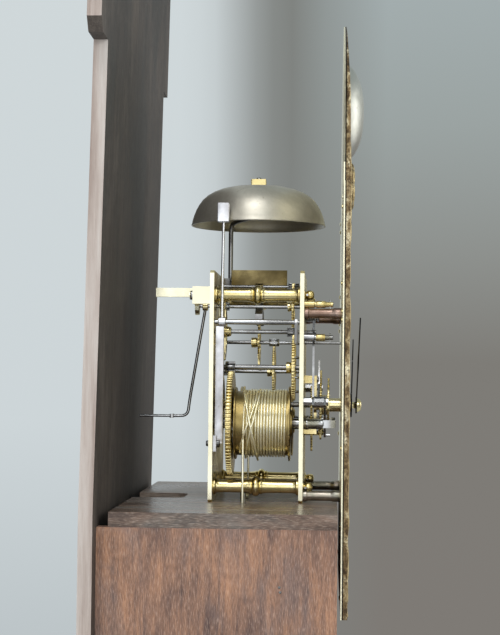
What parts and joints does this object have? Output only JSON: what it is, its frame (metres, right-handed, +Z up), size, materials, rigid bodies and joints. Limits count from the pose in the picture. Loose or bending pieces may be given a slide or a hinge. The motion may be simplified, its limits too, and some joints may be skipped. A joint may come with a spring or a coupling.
{
  "type": "longcase clock",
  "caption": "Tall wooden clock case with its hood off: geared brass movement, bell, arched dial with hands, hanging weights and a hinged trunk door.",
  "frame": {"origin": "on the floor, under the middle of the case's width and depth", "axes": "+Z up, -Y towards the dial and the door, +X to the right as one faces the dial"},
  "size_m": [0.424, 0.23, 2.1],
  "materials": {
    "dark_backboard": "old dark stain",
    "seatboard_wood": "grey-brown worn board",
    "oak_case": "polished red-brown oak",
    "steel": "dulled steel",
    "gut": "twisted gut line",
    "iron": "rough cast iron",
    "bell_metal": "dull grey bronze",
    "blued_steel": "blackened steel",
    "silvered_brass": "silvered, matt",
    "dial_brass": "matted brass",
    "brass": "old polished brass"
  },
  "bodies": {
    "root": {"arch_boss": "silvered_brass", "back_cock": "brass", "back_plate": "brass", "backboard": "dark_backboard", "base_front": "oak_case", "base_sides": "oak_case", "bell": "bell_metal", "bell_stand": "steel", "bottom_board": "seatboard_wood", "case_mouldings": "oak_case", "chapter_rings": "silvered_brass", "dial_feet": "brass", "dial_plate": "dial_brass", "frame_hinges": "brass", "front_plate": "brass", "going_line": "gut", "hammer_spring": "steel", "hood_cheeks": "dark_backboard", "lever_studs": "steel", "motion_bridge": "brass", "pillars": "brass", "plinth": "oak_case", "seatboard": "seatboard_wood", "seatboard_bolts": "steel", "spandrels": "dial_brass", "strike_line": "gut", "taper_pins": "steel", "trunk_front_frame": "oak_case", "trunk_left_side": "oak_case", "trunk_right_side": "oak_case"},
    "door": {"trunk_door": "oak_case", "door_hinges": "brass"},
    "centre_arbor": {"centre_wheel": "brass", "cannon_wheel": "brass", "minute_hand": "blued_steel"},
    "going_barrel_arbor": {"going_barrel": "brass", "going_great_wheel": "brass"},
    "third_arbor": {"third_wheel": "brass"},
    "escape_arbor": {"escape_wheel": "brass", "seconds_hand": "blued_steel"},
    "minute_wheel": {"minute_wheel": "brass"},
    "hour_pipe": {"hour_wheel": "brass", "hour_hand": "blued_steel"},
    "gathering_arbor": {"gathering_wheel": "brass", "gathering_pallet": "steel"},
    "pin_wheel_arbor": {"pin_wheel": "brass"},
    "strike_barrel_arbor": {"strike_barrel": "brass", "strike_great_wheel": "brass"},
    "warning_arbor": {"warning_wheel": "brass"},
    "fly_arbor": {"fly": "brass"},
    "pallet_arbor": {"pallets": "steel", "crutch": "steel"},
    "hammer": {"hammer": "steel"},
    "rack": {"rack": "steel"},
    "rack_hook": {"rack_hook": "steel"},
    "lifting_piece": {"lifting_piece": "steel"},
    "strike_weight": {"strike_weight": "iron"},
    "going_weight": {"going_weight": "iron"},
    "strike_pulley": {"strike_pulley": "brass"},
    "going_pulley": {"going_pulley": "brass"}
  },
  "joints": [
    {"name": "door_hinge", "type": "hinge", "parent": "root", "child": "door", "pos_m": [0.1156, -0.066, 1], "axis": [0, 0, 1], "range_deg": [0, 110]},
    {"name": "centre_spin", "type": "hinge", "parent": "root", "child": "centre_arbor", "pos_m": [0, 0, 1.713], "axis": [0, 1, 0], "continuous": true},
    {"name": "going_barrel_spin", "type": "hinge", "parent": "root", "child": "going_barrel_arbor", "pos_m": [0.041, 0, 1.6991], "axis": [0, 1, 0], "continuous": true},
    {"name": "third_spin", "type": "hinge", "parent": "root", "child": "third_arbor", "pos_m": [0.006, 0, 1.739], "axis": [0, 1, 0], "continuous": true},
    {"name": "escape_spin", "type": "hinge", "parent": "root", "child": "escape_arbor", "pos_m": [0, 0, 1.7618], "axis": [0, 1, 0], "continuous": true},
    {"name": "minute_wheel_spin", "type": "hinge", "parent": "root", "child": "minute_wheel", "pos_m": [0.0186, 0, 1.6908], "axis": [0, 1, 0], "continuous": true},
    {"name": "hour_spin", "type": "hinge", "parent": "root", "child": "hour_pipe", "pos_m": [0, 0, 1.713], "axis": [0, 1, 0], "continuous": true},
    {"name": "gathering_spin", "type": "hinge", "parent": "root", "child": "gathering_arbor", "pos_m": [-0.0345, 0, 1.7693], "axis": [0, 1, 0], "continuous": true},
    {"name": "pin_wheel_spin", "type": "hinge", "parent": "root", "child": "pin_wheel_arbor", "pos_m": [-0.0395, 0, 1.742], "axis": [0, 1, 0], "continuous": true},
    {"name": "strike_barrel_spin", "type": "hinge", "parent": "root", "child": "strike_barrel_arbor", "pos_m": [-0.041, 0, 1.6991], "axis": [0, 1, 0], "continuous": true},
    {"name": "warning_spin", "type": "hinge", "parent": "root", "child": "warning_arbor", "pos_m": [-0.0205, 0, 1.7892], "axis": [0, 1, 0], "continuous": true},
    {"name": "fly_spin", "type": "hinge", "parent": "root", "child": "fly_arbor", "pos_m": [-0.008, 0, 1.8058], "axis": [0, 1, 0], "continuous": true},
    {"name": "pallet_rock", "type": "hinge", "parent": "root", "child": "pallet_arbor", "pos_m": [0, 0, 1.7903], "axis": [0, 1, 0], "range_deg": [-3, 3]},
    {"name": "hammer_pivot", "type": "hinge", "parent": "root", "child": "hammer", "pos_m": [-0.059, 0, 1.776], "axis": [0, 1, 0], "range_deg": [-12, 0], "stiffness_Nm_per_rad": 0.05},
    {"name": "rack_pivot", "type": "hinge", "parent": "root", "child": "rack", "pos_m": [-0.049, 0, 1.716], "axis": [0, 1, 0], "range_deg": [-7, 0]},
    {"name": "rack_hook_pivot", "type": "hinge", "parent": "root", "child": "rack_hook", "pos_m": [0.03, 0, 1.783], "axis": [0, 1, 0], "range_deg": [0, 10]},
    {"name": "lifting_pivot", "type": "hinge", "parent": "root", "child": "lifting_piece", "pos_m": [0.047, 0, 1.726], "axis": [0, 1, 0], "range_deg": [0, 8]},
    {"name": "strike_weight_slide", "type": "slide", "parent": "root", "child": "strike_weight", "axis": [0, 0, 1], "range_m": [-1.05, 0], "deforming": ["strike_line"]},
    {"name": "going_weight_slide", "type": "slide", "parent": "root", "child": "going_weight", "axis": [0, 0, 1], "range_m": [-1.05, 0], "deforming": ["going_line"]},
    {"name": "strike_pulley_spin", "type": "hinge", "parent": "strike_weight", "child": "strike_pulley", "pos_m": [-0.04245, 0.0089, 1.5675], "axis": [0, 1, 0], "continuous": true},
    {"name": "going_pulley_spin", "type": "hinge", "parent": "going_weight", "child": "going_pulley", "pos_m": [0.03955, 0.0089, 1.5675], "axis": [0, 1, 0], "continuous": true}
  ],
  "couplings": [
    {"joint": "going_barrel_spin", "follows": "centre_spin", "ratio": -0.083333},
    {"joint": "third_spin", "follows": "centre_spin", "ratio": -7.5},
    {"joint": "escape_spin", "follows": "centre_spin", "ratio": 60},
    {"joint": "minute_wheel_spin", "follows": "centre_spin", "ratio": -1},
    {"joint": "hour_spin", "follows": "centre_spin", "ratio": 0.083333},
    {"joint": "pin_wheel_spin", "follows": "gathering_spin", "ratio": -0.125},
    {"joint": "strike_barrel_spin", "follows": "gathering_spin", "ratio": 0.011905},
    {"joint": "warning_spin", "follows": "gathering_spin", "ratio": -8},
    {"joint": "fly_spin", "follows": "gathering_spin", "ratio": 56},
    {"joint": "strike_pulley_spin", "follows": "strike_weight_slide", "rad_per_m": 41.667},
    {"joint": "going_pulley_spin", "follows": "going_weight_slide", "rad_per_m": 41.667}
  ]
}
